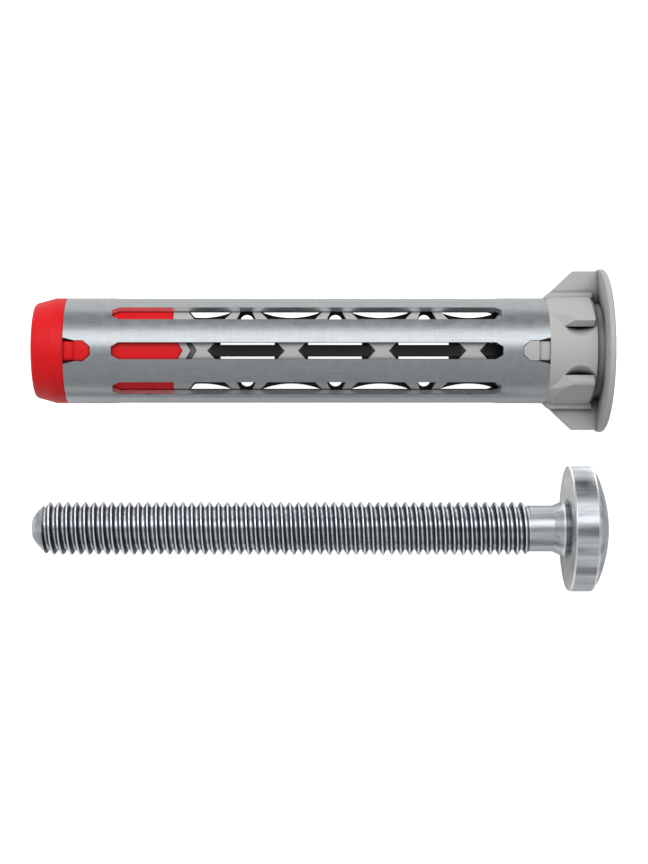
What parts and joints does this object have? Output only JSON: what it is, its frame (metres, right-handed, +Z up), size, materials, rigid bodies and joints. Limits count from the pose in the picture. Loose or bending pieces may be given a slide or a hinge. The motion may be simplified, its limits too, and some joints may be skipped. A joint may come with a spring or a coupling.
{
  "type": "hollow wall anchor with machine screw",
  "caption": "Hollow wall anchor: slotted steel sleeve over a plastic lattice cage, flanged collar with fins, tapered end cap with a thread insert, and its machine screw lying beside it.",
  "frame": {"origin": "on the ground under the middle of the box that holds the anchor and its screw", "axes": "+X along both pieces towards the collar's flange and the screw's head, +Y from the screw to the anchor, +Z up from the surface they lie on"},
  "size_m": [0.0644, 0.036, 0.0181],
  "materials": {
    "zinc_sheet": "rolled sheet with a bluish zinc plating, satin",
    "grey_plastic": "moulded light grey polyamide, matte",
    "red_plastic": "moulded red polyamide, satin",
    "insert_steel": "turned zinc-plated steel",
    "zinc_screw": "bright zinc-plated steel with a rolled thread"
  },
  "bodies": {
    "root": {"sleeve": "zinc_sheet", "collar_and_cage": "grey_plastic", "end_cap": "red_plastic", "thread_insert": "insert_steel", "screw": "zinc_screw"}
  },
  "joints": []
}
